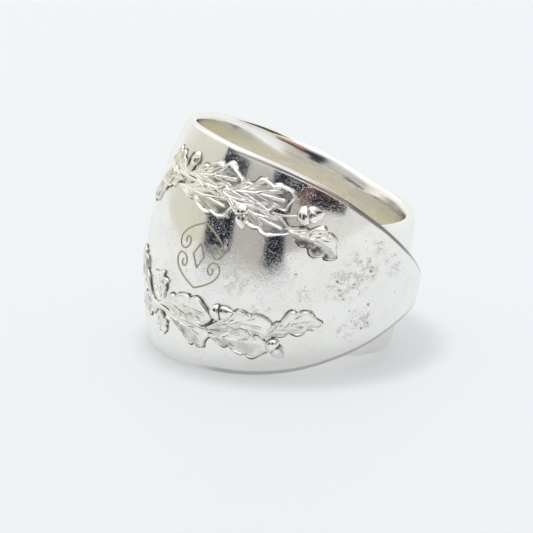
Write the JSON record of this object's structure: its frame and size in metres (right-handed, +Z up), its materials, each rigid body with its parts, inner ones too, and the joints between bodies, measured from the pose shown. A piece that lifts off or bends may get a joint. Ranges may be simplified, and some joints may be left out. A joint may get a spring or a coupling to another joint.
{
  "type": "spoon ring",
  "caption": "Finger ring made of a bent spoon handle, its broad end with raised oak leaves and acorns lapping over a narrow shank.",
  "frame": {"origin": "middle of the box's bottom, on the surface that the ring lies on", "axes": "+Z up from that surface, -Y towards the decorated front, +X towards the lapped tip"},
  "size_m": [0.0212, 0.0206, 0.0175],
  "materials": {
    "silver": "polished silver plate with tarnish in the hollows"
  },
  "bodies": {
    "root": {"spoon_ring": "silver"}
  },
  "joints": []
}
